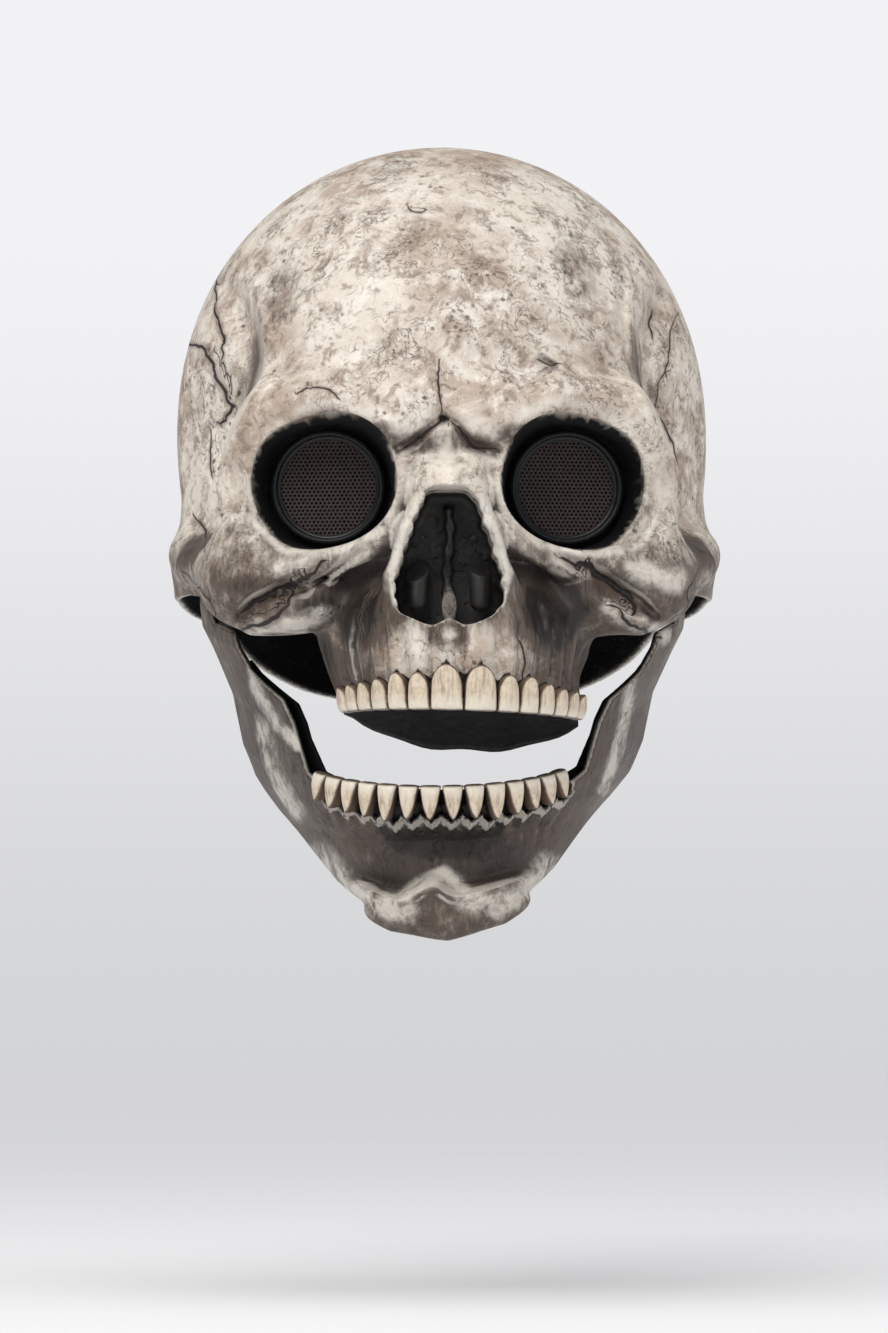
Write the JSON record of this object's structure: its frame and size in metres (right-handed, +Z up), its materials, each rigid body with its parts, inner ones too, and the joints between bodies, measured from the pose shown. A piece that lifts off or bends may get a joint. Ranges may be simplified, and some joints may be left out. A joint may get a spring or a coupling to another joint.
{
  "type": "full-head skull mask",
  "caption": "Hollow full-head skull mask with lined eye sockets and dark eye screens, a cast row of teeth above and below, and a jaw that swings on side pins.",
  "frame": {"origin": "where the top of the wearer's head touches the inside of the crown, on the middle plane", "axes": "+Z up, the face looks along -Y, +X to the viewer's right when facing the mask"},
  "size_m": [0.2018, 0.2499, 0.2954],
  "materials": {
    "bone_latex": "matt cast latex painted as aged bone",
    "ring_plastic": "semi-gloss black",
    "screen": "dark perforated sheet",
    "pin_plastic": "matt black"
  },
  "bodies": {
    "skull": {"skull_shell": "bone_latex", "eye_ring_right": "ring_plastic", "eye_ring_left": "ring_plastic", "eye_screen_right": "screen", "eye_screen_left": "screen", "jaw_pin_right": "pin_plastic", "jaw_pin_left": "pin_plastic"},
    "jaw": {"jaw_shell": "bone_latex"}
  },
  "joints": [
    {"name": "jaw_hinge", "type": "hinge", "parent": "skull", "child": "jaw", "pos_m": [0, 0.004, -0.152], "axis": [1, 0, 0], "range_deg": [-11.5, 8]}
  ]
}
